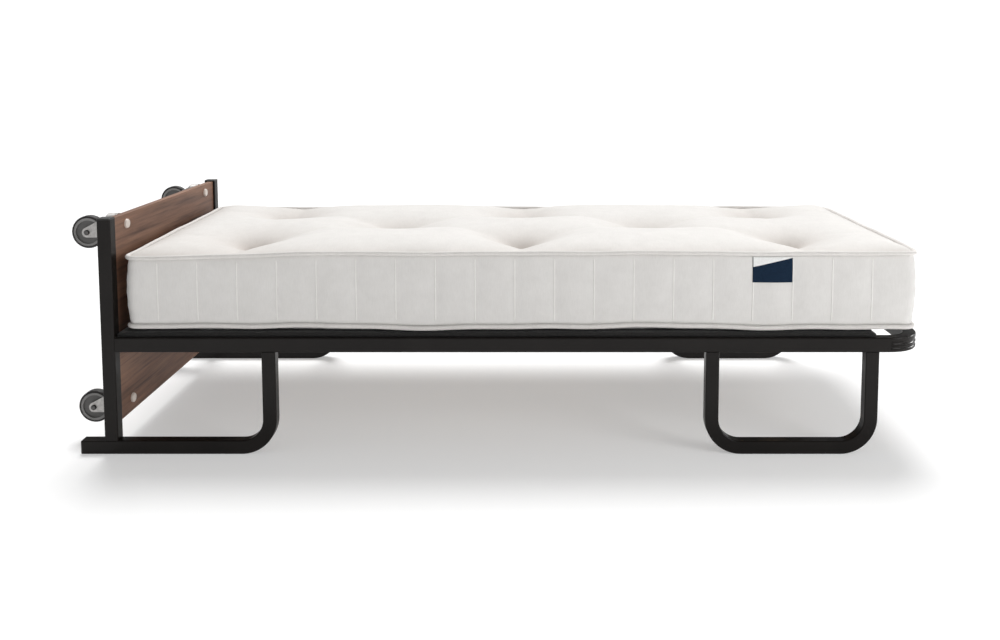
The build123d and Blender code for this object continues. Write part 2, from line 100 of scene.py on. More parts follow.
class Shader:
    """A Principled material and short ways to add procedural detail to it."""

    # Where a Mix node keeps its colour sockets.
    mix_factor, mix_a, mix_b, mix_result = 0, 6, 7, 2

    def __init__(self, name, color, roughness, metallic=0.0):
        """The plain values hold for each socket that gets no nodes."""
        self.material = bpy.data.materials.new(name)
        self.material.use_nodes = True
        self.tree = self.material.node_tree
        self.base = next(n for n in self.tree.nodes if n.type == "BSDF_PRINCIPLED")
        self.coords = self.tree.nodes.new("ShaderNodeTexCoord")
        self.normal = None
        self.plain("Base Color", (*color, 1.0))
        self.plain("Roughness", roughness)
        self.plain("Metallic", metallic)

    def plain(self, socket, value):
        """One value for the whole surface, on the shader's own socket."""
        self.base.inputs[socket].default_value = value

    def glow(self, strength):
        """White light that the surface gives off."""
        self.plain("Emission Color", (*white, 1.0))
        self.plain("Emission Strength", strength)

    def link(self, source, target):
        self.tree.links.new(source, target)

    def position(self, axis):
        """Object coordinate along X, Y or Z, in metres."""
        separate = self.tree.nodes.new("ShaderNodeSeparateXYZ")
        self.link(self.coords.outputs["Object"], separate.inputs[0])
        return separate.outputs[axis]

    def mapped(self, stretch):
        """Object coordinates, scaled by axis."""
        mapping = self.tree.nodes.new("ShaderNodeMapping")
        mapping.inputs["Scale"].default_value = stretch
        self.link(self.coords.outputs["Object"], mapping.inputs["Vector"])
        return mapping.outputs["Vector"]

    def noise(self, scale, detail=4.0, stretch=unstretched, distortion=0.0, rough=0.55):
        node = self.tree.nodes.new("ShaderNodeTexNoise")
        node.inputs["Scale"].default_value = scale
        node.inputs["Detail"].default_value = detail
        node.inputs["Roughness"].default_value = rough
        node.inputs["Distortion"].default_value = distortion
        self.link(self.mapped(stretch), node.inputs["Vector"])
        return node.outputs["Fac"]

    def threads(self, scale, axis):
        """Even bands that follow each other along an axis."""
        node = self.tree.nodes.new("ShaderNodeTexWave")
        node.bands_direction = axis
        node.inputs["Scale"].default_value = scale
        self.link(self.mapped(unstretched), node.inputs["Vector"])
        return node.outputs["Fac"]

    def ramp(self, source, stops):
        """Colour ramp with (place, colour) stops."""
        node = self.tree.nodes.new("ShaderNodeValToRGB")
        elements = node.color_ramp.elements
        while len(elements) < len(stops):
            elements.new(0.5)
        for element, (place, color) in zip(elements, stops):
            element.position = place
            element.color = (*color, 1.0)
        self.link(source, node.inputs["Fac"])
        return node.outputs["Color"]

    def two_tone(self, source, low, high):
        """From one colour to another, over the range where most of a noise lies."""
        return self.ramp(source, [(0.3, low), (0.7, high)])

    def mix(self, kind, factor, a, b):
        """Mix two colours; factor is a number or a socket."""
        node = self.tree.nodes.new("ShaderNodeMix")
        node.data_type = "RGBA"
        node.blend_type = kind
        if isinstance(factor, (int, float)):
            node.inputs[self.mix_factor].default_value = factor
        else:
            self.link(factor, node.inputs[self.mix_factor])
        self.link(a, node.inputs[self.mix_a])
        self.link(b, node.inputs[self.mix_b])
        return node.outputs[self.mix_result]

    def calculate(self, operation, a, b):
        """Arithmetic on two values, each a number or a socket."""
        node = self.tree.nodes.new("ShaderNodeMath")
        node.operation = operation
        for socket, value in zip(node.inputs, (a, b)):
            if isinstance(value, (int, float)):
                socket.default_value = value
            else:
                self.link(value, socket)
        return node.outputs[0]

    def color(self, source):
        self.link(source, self.base.inputs["Base Color"])

    def roughness(self, source, low, high):
        node = self.tree.nodes.new("ShaderNodeMapRange")
        node.inputs["To Min"].default_value = low
        node.inputs["To Max"].default_value = high
        self.link(source, node.inputs["Value"])
        self.link(node.outputs["Result"], self.base.inputs["Roughness"])

    def bump(self, source, strength, distance):
        """Adds a bump layer on top of the ones before it."""
        node = self.tree.nodes.new("ShaderNodeBump")
        node.inputs["Strength"].default_value = strength
        node.inputs["Distance"].default_value = distance
        self.link(source, node.inputs["Height"])
        if self.normal is not None:
            self.link(self.normal, node.inputs["Normal"])
        self.normal = node.outputs["Normal"]
        self.link(self.normal, self.base.inputs["Normal"])


# ---------------------------------------------------------------- materials of the hard parts
def powder_coat():
    """Black powder coat: a faint cloudiness, fine orange peel and a thin gloss."""
    s = Shader("powder_coat", (0.007, 0.006, 0.0055), roughness=0.45)
    s.plain("Specular IOR Level", 0.05)
    s.plain("Coat Weight", 0.25)
    s.plain("Coat Roughness", 0.16)
    s.color(s.two_tone(s.noise(7.0, detail=5.0), (0.0060, 0.0046, 0.0039), (0.0096, 0.0078, 0.0068)))
    s.roughness(s.noise(60.0, detail=3.0), low=0.36, high=0.52)
    s.bump(s.noise(750.0, detail=2.0), strength=0.10, distance=0.0004)
    s.bump(s.noise(90.0, detail=2.0), strength=0.04, distance=0.001)
    return s.material


def walnut():
    """Walnut board: broad figure, streaks along the grain and fine pores."""
    s = Shader("walnut", (0.2, 0.12, 0.09), roughness=0.5)
    s.plain("Specular IOR Level", 0.28)
    figure = s.noise(1.0, detail=4.0, stretch=(4.0, 1.1, 12.0), distortion=0.9, rough=0.5)
    streak = s.noise(1.0, detail=7.0, stretch=(30.0, 3.0, 95.0), rough=0.62)
    fibre = s.noise(1.0, detail=4.0, stretch=(300.0, 14.0, 620.0), rough=0.7)
    dark, brown, light = (0.135, 0.067, 0.040), (0.215, 0.113, 0.073), (0.275, 0.153, 0.100)
    base = s.ramp(figure, [(0.32, dark), (0.48, brown), (0.66, light)])
    darker, usual, lighter = (0.34, 0.28, 0.25), (0.84, 0.82, 0.80), (1.16, 1.14, 1.12)
    bands = s.ramp(streak, [(0.30, darker), (0.46, usual), (0.70, lighter)])
    pores = s.ramp(fibre, [(0.30, (0.60, 0.56, 0.53)), (0.48, white)])
    s.color(s.mix("MULTIPLY", 0.85, s.mix("MULTIPLY", 1.0, base, bands), pores))
    s.roughness(streak, low=0.44, high=0.60)
    s.bump(fibre, strength=0.12, distance=0.0004)
    return s.material


def beech():
    """Beech slats: plain light wood with straight streaks."""
    s = Shader("beech", (0.55, 0.38, 0.22), roughness=0.5)
    streak = s.noise(1.0, detail=6.0, stretch=(140.0, 4.0, 40.0))
    s.color(s.two_tone(streak, (0.40, 0.26, 0.14), (0.60, 0.43, 0.26)))
    s.roughness(streak, low=0.42, high=0.58)
    s.bump(streak, strength=0.10, distance=0.0005)
    return s.material


def zinc():
    """Zinc-plated pressed steel, dulled and faintly brushed."""
    s = Shader("zinc", (0.48, 0.46, 0.45), roughness=0.45, metallic=0.7)
    s.color(s.two_tone(s.noise(120.0, detail=4.0), (0.38, 0.37, 0.36), (0.54, 0.525, 0.51)))
    s.roughness(s.noise(260.0, detail=3.0), low=0.38, high=0.55)
    s.bump(s.noise(900.0, detail=2.0, stretch=(0.3, 1, 1)), strength=0.08, distance=0.0003)
    return s.material


def dark_steel():
    """Dark steel of bolts and axles."""
    s = Shader("dark_steel", (0.10, 0.10, 0.10), roughness=0.42, metallic=0.8)
    s.color(s.two_tone(s.noise(200.0, detail=3.0), (0.07, 0.07, 0.07), (0.14, 0.135, 0.13)))
    s.roughness(s.noise(300.0, detail=2.0), low=0.34, high=0.52)
    s.bump(s.noise(800.0, detail=2.0), strength=0.06, distance=0.0003)
    return s.material


def moulded(name, low, high, roughness=(0.42, 0.58), grain=700.0):
    """Moulded plastic or rubber with a faint grain."""
    s = Shader(name, high, roughness=roughness[0])
    s.color(s.two_tone(s.noise(35.0, detail=4.0), low, high))
    s.roughness(s.noise(120.0, detail=3.0), *roughness)
    s.bump(s.noise(grain, detail=2.0), strength=0.10, distance=0.0003)
    return s.material


# ---------------------------------------------------------------- materials of the soft parts
def woven(name, low, high, thread=640.0, fuzz=0.25, dip_shade=None):
    """Closely woven cloth: a fine thread relief, soft unevenness and a little sheen.

    The two optional heights paint shade into the cloth's colour: it is painted a little darker and warmer
    below the second, most at the first, as shade in the quilted top's dips.
    """
    s = Shader(name, high, roughness=0.9)
    s.plain("Sheen Weight", 0.25)
    s.plain("Sheen Roughness", 0.5)
    s.plain("Specular IOR Level", 0.2)
    mottled = s.noise(26.0, detail=6.0, rough=0.65)
    tint = s.ramp(mottled, [(0.25, low), (0.75, high)])
    slub = s.noise(1.0, detail=3.0, stretch=(420.0, 60.0, 60.0))
    cloth = s.mix("MULTIPLY", 0.35, tint, s.ramp(slub, [(0.3, (0.90, 0.895, 0.885)), (0.6, white)]))
    # Painted shade: darker and warmer low down in the quilted top's dips, where the tufts pull the cloth
    # in.
    if dip_shade:
        lowest, highest = dip_shade
        above = s.calculate("SUBTRACT", s.position("Z"), lowest)
        share = s.calculate("DIVIDE", above, highest - lowest)
        cloth = s.mix("MULTIPLY", 1.0, cloth, s.ramp(share, [(0.0, (0.78, 0.735, 0.71)), (1.0, white)]))
    s.color(cloth)
    s.roughness(mottled, low=0.82, high=0.95)
    across = s.calculate("ADD", s.threads(thread, "Y"), s.threads(thread, "Z"))
    s.bump(s.calculate("MULTIPLY", s.threads(thread, "X"), across), strength=0.16, distance=0.0004)
    s.bump(s.noise(160.0, detail=5.0, rough=0.6), strength=fuzz, distance=0.0006)
    return s.material


def needle_felt():
    """Black needle felt of the deck pad."""
    s = Shader("needle_felt", (0.012, 0.012, 0.012), roughness=0.95)
    s.plain("Sheen Weight", 0.15)
    s.color(s.two_tone(s.noise(300.0, detail=5.0), (0.006, 0.006, 0.006), (0.018, 0.017, 0.016)))
    s.roughness(s.noise(90.0, detail=3.0), low=0.86, high=0.98)
    s.bump(s.noise(500.0, detail=5.0), strength=0.5, distance=0.001)
    return s.material


dip_shade_heights = (0.452, 0.500)       # heights above the floor of the painted shade: full in the tufts' dips, and none

mat_powder = powder_coat()
mat_black = moulded("black_plastic", (0.014, 0.014, 0.014), (0.024, 0.023, 0.022))
mat_walnut = walnut()
mat_beech = beech()
mat_zinc = zinc()
mat_dark = dark_steel()
mat_hub = moulded("hub_grey", (0.085, 0.083, 0.080), (0.120, 0.117, 0.113))
mat_hub_ring = moulded("hub_ring_grey", (0.19, 0.185, 0.18), (0.26, 0.255, 0.25), (0.34, 0.46))
mat_tyre = moulded("tyre_rubber", (0.009, 0.008, 0.008), (0.019, 0.017, 0.016), (0.55, 0.75), grain=420.0)
mat_ivory = moulded("ivory_plastic", (0.66, 0.58, 0.52), (0.74, 0.66, 0.60), (0.25, 0.38), grain=500.0)
mat_felt = needle_felt()
mat_ticking = woven("ticking", (0.68, 0.665, 0.645), (0.74, 0.725, 0.705))
# The quilted top's copy of the ticking is a touch lighter and warmer than the border's, as painted light,
# and carries painted shade in the tufts' dips.
mat_quilt_painted_shade = woven("quilted_ticking", (0.695, 0.675, 0.65), (0.755, 0.735, 0.71), dip_shade=dip_shade_heights)
mat_piping = woven("piping_tape", (0.68, 0.655, 0.63), (0.74, 0.715, 0.69), thread=900.0, fuzz=0.15)
# The seam thread is lighter than the ticking: painted highlight along the seam ridges.
mat_thread_highlight = woven("seam_thread", (0.74, 0.725, 0.70), (0.81, 0.795, 0.77), thread=1200.0, fuzz=0.1)
mat_wool = woven("wool_tuft", (0.70, 0.67, 0.62), (0.80, 0.77, 0.72), thread=500.0, fuzz=0.6)

# The nodes of the last six slots are replaced further down, and then don't show.
slot_materials = {
    "powder_coat": mat_powder,
    "black_plastic": mat_black,
    "walnut": mat_walnut,
    "slat_wood": mat_beech,
    "zinc": mat_zinc,
    "dark_steel": mat_dark,
    "grey_plastic": mat_hub,
    "tyre": mat_tyre,
    "ivory_plastic": mat_ivory,
    "felt": mat_felt,
    "cover_fabric": mat_ticking,
    "filling": mat_ticking,
    "piping": mat_piping,
    "tuft_wool": mat_wool,
    "label_fabric": mat_black,
}
slot_of_node = {p["node"]: p["material_slot"] for p in frame["record"]["subparts"]}
for name, node in nodes.items():
    node.data.materials.clear()
    node.data.materials.append(slot_materials[slot_of_node[name]])

second_material = 1             # index of a mesh's second material

# The hub's outer ring is a lighter grey than its web.
hub_ring_inner = 0.0285
for name, node in nodes.items():
    if not name.startswith("castor_hub"):
        continue
    low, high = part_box(name)
    centre = (low + high) / 2
    node.data.materials.append(mat_hub_ring)
    for face in node.data.polygons:
        offset = face.center - centre
        if math.hypot(offset.x, offset.z) > hub_ring_inner:
            face.material_index = second_material


# ---------------------------------------------------------------- mesh helpers
def new_object(name, points, faces, material):
    """A smooth-shaded mesh piece from points and faces."""
    mesh = bpy.data.meshes.new(name)
    mesh.from_pydata([tuple(p) for p in points], [], faces)
    mesh.update()
    mesh.materials.append(material)
    mesh.polygons.foreach_set("use_smooth", [True] * len(mesh.polygons))
    return add_object(name, mesh)


def coordinates(mesh):
    """The mesh's points as an array of rows."""
    values = np.zeros(len(mesh.vertices) * 3)
    mesh.vertices.foreach_get("co", values)
    return values.reshape(-1, 3)


def ring_tube(path, radii, out, closed, sides):
    """Points and faces of a tube along a path; out is the outward direction at each point."""
    path = np.asarray(path, float)
    count = len(path)
    if closed:
        tangent = np.roll(path, -1, 0) - np.roll(path, 1, 0)
    else:
        tangent = np.gradient(path, axis=0)
    tangent /= np.linalg.norm(tangent, axis=1)[:, None]
    out = np.asarray(out, float)
    out = out - tangent * (out * tangent).sum(1)[:, None]
    out /= np.linalg.norm(out, axis=1)[:, None]
    side = np.cross(tangent, out)
    points = []
    for k in range(count):
        for j in range(sides):
            angle = 2 * math.pi * j / sides
            points.append(
                path[k] + out[k] * math.cos(angle) * radii[0] + side[k] * math.sin(angle) * radii[1]
            )
    faces = []
    last = count if closed else count - 1
    for k in range(last):
        k2 = (k + 1) % count
        for j in range(sides):
            j2 = (j + 1) % sides
            faces.append((k * sides + j, k * sides + j2, k2 * sides + j2, k2 * sides + j))
    if not closed:
        faces.append(tuple(range(sides - 1, -1, -1)))
        faces.append(tuple((count - 1) * sides + j for j in range(sides)))
    return points, faces


def grid_faces(columns, rows):
    """Faces of a grid whose points are laid row by row."""
    faces = []
    for row in range(rows):
        for column in range(columns):
            k = row * (columns + 1) + column
            faces.append((k, k + 1, k + columns + 2, k + columns + 1))
    return faces


def joined(parts):
    """Several parts' points and faces as one."""
    points, faces = [], []
    for part_points, part_faces in parts:
        start = len(points)
        points += part_points
        faces += [tuple(start + k for k in face) for face in part_faces]
    return points, faces


def subdivide(piece):
    """One level of subdivision, in the view and in the render."""
    modifier = piece.modifiers.new("smooth", "SUBSURF")
    modifier.levels = 1
    modifier.render_levels = 1


def thicken(piece, thickness):
    """Gives a sheet its thickness, all of it behind its faces."""
    modifier = piece.modifiers.new("thickness", "SOLIDIFY")
    modifier.thickness = thickness
    modifier.offset = -1


def baked(piece):
    """A plain mesh of the piece as its modifiers leave it."""
    depsgraph = bpy.context.evaluated_depsgraph_get()
    return bpy.data.meshes.new_from_object(piece.evaluated_get(depsgraph))


# ---------------------------------------------------------------- mattress: sizes from the CAD nodes
border_low, border_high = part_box("mattress_border")
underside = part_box("mattress_bottom_panel")[0].z
half_x = (border_high.x - border_low.x) / 2
half_y = (border_high.y - border_low.y) / 2
middle_x = (border_high.x + border_low.x) / 2
tape_hang = 0.005               # the lower tape hangs a little over the deck
upper_seam = border_high.z
lower_seam = border_low.z - tape_hang
cover_corner = 0.026
cell = 0.0127

seam_pitch = 0.0945
first_seam = -0.866             # on the long sides, from the mattress's middle
long_seams = 19
short_seams = 6
seam_xs = [first_seam + seam_pitch * i for i in range(long_seams)]
seam_ys = [seam_pitch * (i - (short_seams - 1) / 2) for i in range(short_seams)]

tuft_pitch = 0.342
tuft_row = 0.1875
link_reach = 1.5 * tuft_pitch
tufts = []
for column in range(-2, 3):
    for row in (-1, 1) if column % 2 == 0 else (0,):
        tufts.append((column * tuft_pitch, row * tuft_row))
tuft_links = [(a, b) for a in tufts for b in tufts if 0 < b[0] - a[0] < link_reach and a[1] != b[1]]


def grid_lines(seams, half):
    """Grid lines that pass through every seam, about one cell apart."""
    marks = [-half, *seams, half]
    lines = [-half]
    for a, b in zip(marks, marks[1:]):
        steps = max(1, round((b - a) / cell))
        lines += [a + (b - a) * k / steps for k in range(1, steps + 1)]
    return lines


def past_corner(x, y):
    """How far a point of the plan is past the start of the round corner, in both directions."""
    return abs(x) - (half_x - cover_corner), abs(y) - (half_y - cover_corner)


def round_corner(x, y):
    """Moves a point of the rectangle's grid into the round-cornered plan."""
    over_x, over_y = past_corner(x, y)
    if over_x <= 0 or over_y <= 0:
        return x, y
    u, v = over_x / cover_corner, over_y / cover_corner
    new_x = half_x - cover_corner + cover_corner * u * math.sqrt(1 - v * v / 2)
    new_y = half_y - cover_corner + cover_corner * v * math.sqrt(1 - u * u / 2)
    return math.copysign(new_x, x), math.copysign(new_y, y)


def outward(x, y):
    """Outward direction of the plan's edge at a point on it."""
    over_x, over_y = past_corner(x, y)
    if over_x > 0 and over_y > 0:
        size = math.hypot(over_x, over_y)
        return math.copysign(over_x / size, x), math.copysign(over_y / size, y)
    if half_x - abs(x) < half_y - abs(y):
        return math.copysign(1.0, x), 0.0
    return 0.0, math.copysign(1.0, y)


def edge_distance(x, y):
    """Distance from a point of the plan to the nearest side."""
    return max(min(half_x - abs(x), half_y - abs(y)), 0)


def ripple(x, y, size):
    """Gentle unevenness from three unrelated waves, the same on every run."""
    return size * (
        0.5 * math.sin(7.1 * x + 2.3 * y + 0.6)
        + 0.3 * math.sin(15.7 * x - 9.2 * y + 1.9)
        + 0.2 * math.sin(31.0 * x + 21.0 * y + 4.0)
    )


def link_distance(x, y, a, b):
    """Distance to the line between two tufts, and how far along it that is: 0 halfway, 1 at a tuft."""
    dx, dy = b[0] - a[0], b[1] - a[1]
    t = ((x - a[0]) * dx + (y - a[1]) * dy) / (dx * dx + dy * dy)
    t = min(1.0, max(0.0, t))
    return math.hypot(x - a[0] - t * dx, y - a[1] - t * dy), abs(2 * t - 1)


# ---------------------------------------------------------------- mattress: relief of the cover
pillow_rise = 0.020
edge_roll = 0.025               # width over which the top rounds down to the rim
top_ripple = 0.0015
tuft_depth = 0.040              # cone round each tuft
tuft_spread = 0.062
dimple_depth = 0.008            # the tuft's own narrow dimple
dimple_spread = 0.022
dimple_power = 1.5
crease_depth = 0.015            # between neighbouring tufts
crease_spread = 0.026
crease_halfway = 0.35           # share of that depth left halfway
pull_depth = 0.019              # from the outer tufts straight to the long sides
pull_spread = 0.055
pull_power = 3                  # fades the pull inside the tuft rows
rim_lift = 0.0035
head_droop = 0.012              # the seam hangs lower at the head end
head_droop_reach = 0.34
head_droop_power = 2.5

edge_wave = 0.0020              # the underside's edge isn't straight
edge_wave_rate = 21.0           # radians per metre
edge_wave_phase = 0.93
edge_wave_reach = 0.07
underside_ripple = 0.001
underside_turn = 0.004          # how sharply the underside turns in from the seam

border_rows = 14
belly = 0.003                   # how far the side border stands out
corner_belly = 0.007
belly_power = 0.7
pucker = 0.0016                 # low wrinkles in the corners
pucker_turns = 5
pucker_slant = 60               # radians per metre along the corner

top_wander = 0.0022             # the tapes wander up and down
bottom_wander = 0.0048
wander_squeeze = 1.7            # in shorter waves across the bed than along it


def rim_height(x, y):
    """How far the upper seam stands above its nominal height: most along the near long side."""
    droop = head_droop * math.exp(-(((x + half_x) / head_droop_reach) ** head_droop_power))
    return (rim_lift - droop) * (half_y - y) / (2 * half_y)


def top_height(x, y):
    """Height of the quilted top above the nominal upper seam."""
    roll = 1 - math.exp(-edge_distance(x, y) / edge_roll)
    rise = rim_height(x, y) + pillow_rise * roll
    rise += ripple(x, y, top_ripple)
    near = [math.hypot(x - a, y - b) for a, b in tufts]
    dip = sum(math.exp(-r / tuft_spread) for r in near)
    dimple = math.exp(-((min(near) / dimple_spread) ** dimple_power))
    crease = 0.0
    for a, b in tuft_links:
        away, along = link_distance(x, y, a, b)
        share = crease_halfway + (1 - crease_halfway) * along
        crease = max(crease, share * math.exp(-away / crease_spread))
    pull = max(math.exp(-abs(x - a) / pull_spread) for a, b in tufts if b != 0)
    pull *= min(1.0, abs(y) / tuft_row) ** pull_power * roll
    rise -= tuft_depth * min(dip, 1.0) + dimple_depth * dimple
    return rise - crease_depth * crease - pull_depth * pull


def underside_drop(x, y):
    """Depth of the underside below the lower seam: flat inside, where it lies on the deck."""
    edge = edge_distance(x, y)
    full = lower_seam - underside
    lift = edge_wave * (1 + math.sin(edge_wave_rate * x + edge_wave_phase)) + ripple(x, y, underside_ripple)
    lift = max(lift, 0) * math.exp(-edge / edge_wave_reach)
    return (full - lift) * (1 - math.exp(-edge / underside_turn))


def border_swell(x, y, out_x, out_y, down):
    """How far the side border stands out, at a share of the way down from the upper seam."""
    corner = 2 * abs(out_x * out_y)
    swell = (belly + corner_belly * corner) * math.sin(math.pi * down) ** belly_power
    return swell + pucker * corner * math.sin(pucker_turns * 2 * math.pi * down + pucker_slant * (x + y))


def build_cover():
    """Cover of the mattress as one closed mesh. Returns points, faces and named point sets."""
    xs, ys = grid_lines(seam_xs, half_x), grid_lines(seam_ys, half_y)
    nx, ny = len(xs), len(ys)
    places = [(i, j) for i in range(nx) for j in range(ny)]
    inner = {(i, j) for i in range(1, nx - 1) for j in range(1, ny - 1)}
    points, faces = [], []

    def lay(rim, inside):
        """Adds a panel's points; rim and inside give the height at a point of the plan."""
        numbers = {}
        for i, j in places:
            x, y = round_corner(xs[i], ys[j])
            height = inside(x, y) if (i, j) in inner else rim(x, y)
            numbers[i, j] = len(points)
            points.append((x, y, height))
        return numbers

    top = lay(lambda x, y: upper_seam + rim_height(x, y), lambda x, y: upper_seam + top_height(x, y))
    bottom = lay(lambda x, y: lower_seam, lambda x, y: lower_seam - underside_drop(x, y))
    for i in range(nx - 1):
        for j in range(ny - 1):
            faces.append((top[i, j], top[i + 1, j], top[i + 1, j + 1], top[i, j + 1]))
            faces.append((bottom[i, j], bottom[i, j + 1], bottom[i + 1, j + 1], bottom[i + 1, j]))

    # The side border runs round the rim in rows, from the upper seam to the lower one.
    loop = [(i, 0) for i in range(nx - 1)] + [(nx - 1, j) for j in range(ny - 1)]
    loop += [(i, ny - 1) for i in range(nx - 1, 0, -1)] + [(0, j) for j in range(ny - 1, 0, -1)]
    rows = [[top[place] for place in loop]]
    for row in range(1, border_rows):
        down = row / border_rows
        line = []
        for place in loop:
            x, y, z = points[top[place]]
            out_x, out_y = outward(x, y)
            swell = border_swell(x, y, out_x, out_y, down)
            line.append(len(points))
            points.append((x + out_x * swell, y + out_y * swell, z + (lower_seam - z) * down))
        rows.append(line)
    rows.append([bottom[place] for place in loop])
    count = len(loop)
    for upper, lower in zip(rows, rows[1:]):
        for k in range(count):
            k2 = (k + 1) % count
            faces.append((upper[k], lower[k], lower[k2], upper[k2]))

    def on_seam(value, seams):
        return min(abs(value - seam) for seam in seams) < 1e-6

    seam_columns = []
    for k, (i, j) in enumerate(loop):
        on_long = j in (0, ny - 1) and on_seam(xs[i], seam_xs)
        on_short = i in (0, nx - 1) and on_seam(ys[j], seam_ys)
        if on_long or on_short:
            seam_columns.append([line[k] for line in rows])
    sets = {"top_rim": rows[0], "bottom_rim": rows[-1], "seams": seam_columns}
    sets["top_inner"] = [top[place] for place in places if place in inner]
    sets["bottom_inner"] = [bottom[place] for place in places if place in inner]
    return points, faces, sets


cover_points, cover_faces, cover_sets = build_cover()
cover_points = np.array(cover_points) + (middle_x, 0, 0)
for rim_name, size in (("top_rim", top_wander), ("bottom_rim", bottom_wander)):
    for k in cover_sets[rim_name]:
        x, y, z = cover_points[k]
        cover_points[k][2] += ripple(x, wander_squeeze * y, size)

mattress = new_object("mattress_cover", cover_points, cover_faces, mat_ticking)

# ---------------------------------------------------------------- mattress: cloth
pressure = 3.0
frames = 16
let_out = 0.003                 # share by which the cloth is larger than its starting shape
most_movement = 0.008
tuft_pin_radius = 0.012
deck_pin_margin = 0.05          # the underside is held from here inward
tiny = 1e-9


def pinned_points():
    """Points that the sewing holds: rims, border seams and tufts; and the underside on the deck."""
    pinned = [*cover_sets["top_rim"], *cover_sets["bottom_rim"]]
    for column in cover_sets["seams"]:
        pinned += column
    for k in cover_sets["top_inner"]:
        x, y, _ = cover_points[k]
        if min(math.hypot(x - middle_x - a, y - b) for a, b in tufts) < tuft_pin_radius:
            pinned.append(k)
    for k in cover_sets["bottom_inner"]:
        x, y, _ = cover_points[k]
        if edge_distance(x - middle_x, y) > deck_pin_margin:
            pinned.append(k)
    return pinned


def simulate(piece):
    """Inflates the cover with Cloth and keeps the result in the mesh."""
    rest = coordinates(piece.data)
    group = piece.vertex_groups.new(name="pin")
    group.add(pinned_points(), 1.0, "REPLACE")
    modifier = piece.modifiers.new("Cloth", "CLOTH")
    cloth = modifier.settings
    cloth.quality = 6
    cloth.mass = 0.15
    cloth.tension_stiffness = 25
    cloth.compression_stiffness = 12
    cloth.shear_stiffness = 6
    cloth.bending_stiffness = 0.4
    cloth.air_damping = 4
    cloth.vertex_group_mass = "pin"
    cloth.shrink_min = -let_out
    cloth.use_pressure = True
    cloth.uniform_pressure_force = pressure
    cloth.effector_weights.gravity = 0
    modifier.collision_settings.use_collision = False
    modifier.point_cache.frame_start = 1
    modifier.point_cache.frame_end = frames
    scene = bpy.context.scene
    for number in range(1, frames + 1):
        scene.frame_set(number)
    made = baked(piece)
    move = coordinates(made) - rest
    bpy.data.meshes.remove(made)
    piece.modifiers.remove(modifier)
    piece.vertex_groups.remove(group)
    scene.frame_set(1)
    far = np.linalg.norm(move, axis=1)
    print("cloth moved up to", round(float(far.max()), 4), "mean", round(float(far.mean()), 4))
    keep = np.minimum(1.0, most_movement / np.maximum(far, tiny))
    piece.data.vertices.foreach_set("co", (rest + move * keep[:, None]).ravel())


simulate(mattress)

# The cover doesn't swell down into the deck.
settled = coordinates(mattress.data)
for k in cover_sets["bottom_inner"]:
    settled[k][2] = max(settled[k][2], underside)
mattress.data.vertices.foreach_set("co", settled.ravel())

# The quilted top has its own cloth: a touch lighter and warmer than the border's, as painted light, and
# with painted shade in its dips.
mattress.data.materials.append(mat_quilt_painted_shade)
quilted = set(cover_sets["top_inner"])
for face in mattress.data.polygons:
    if not quilted.isdisjoint(face.vertices):
        face.material_index = second_material
mattress.data.update()
subdivide(mattress)
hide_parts("mattress_border", "mattress_core", "mattress_top_panel", "mattress_bottom_panel")
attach(mattress, root_body)

# ---------------------------------------------------------------- mattress: piping and border seams
pipe_radius = 0.0058
pipe_stand = 0.0042             # centre line's distance from the cover
seam_radii = (0.0011, 0.0019)   # outward and along the border
seam_stand = 0.0006


def line_on_cover(numbers, stand):
    """A line through points of the cover, a little outside it, and its outward directions."""
    path, out = [], []
    for k in numbers:
        x, y, z = settled[k]
        out_x, out_y = outward(x - middle_x, y)
        path.append((x + out_x * stand, y + out_y * stand, z))
        out.append((out_x, out_y, 0.0))
    return path, out


for name, rim_name in (("mattress_piping_top", "top_rim"), ("mattress_piping_bottom", "bottom_rim")):
    path, out = line_on_cover(cover_sets[rim_name], pipe_stand)
    points, faces = ring_tube(path, (pipe_radius, pipe_radius), out, closed=True, sides=10)
    piping = new_object("visual_" + name, points, faces, mat_piping)
    subdivide(piping)
    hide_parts(name)
    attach(piping, root_body)

seams = []
for column in cover_sets["seams"]:
    path, out = line_on_cover(column[1:-1], seam_stand)
    seams.append(ring_tube(path, seam_radii, out, closed=False, sides=8))
# Their lighter thread colour is painted highlight on the seam ridges.
border_seams = new_object("mattress_border_seams", *joined(seams), mat_thread_highlight)
subdivide(border_seams)
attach(border_seams, root_body)

# ---------------------------------------------------------------- mattress: tufts
bpy.context.view_layer.update()
cover_mesh = baked(mattress)
surface = BVHTree.FromPolygons(
    [v.co.copy() for v in cover_mesh.vertices], [tuple(p.vertices) for p in cover_mesh.polygons]
)
ray_start = 0.2                 # outside the cover
tuft_radius = 0.011
tuft_height = 0.004
tuft_sink = 0.0005
tuft_around = 32
tuft_rings = 5
petals = 8
petal_reach = 0.10              # share by which the petals widen the tuft
petal_rise = 0.15


def tuft_dome(centre):
    """Points and faces of one tuft: a low lobed dome that stands on the cover."""
    points, faces = [], []
    for ring in range(tuft_rings + 1):
        t = ring / tuft_rings
        for k in range(tuft_around):
            angle = 2 * math.pi * k / tuft_around
            lobe = math.cos(petals * angle)
            radius = tuft_radius * math.sin(t * math.pi / 2) * (1 + petal_reach * lobe)
            height = tuft_height * math.cos(t * math.pi / 2) * (1 + petal_rise * lobe)
            x, y = centre.x + radius * math.cos(angle), centre.y + radius * math.sin(angle)
            points.append((x, y, centre.z + height - tuft_sink))
    for ring in range(tuft_rings):
        first, second = ring * tuft_around, (ring + 1) * tuft_around
        for k in range(tuft_around):
            k2 = (k + 1) % tuft_around
            faces.append((first + k, second + k, second + k2, first + k2))
    return points, faces


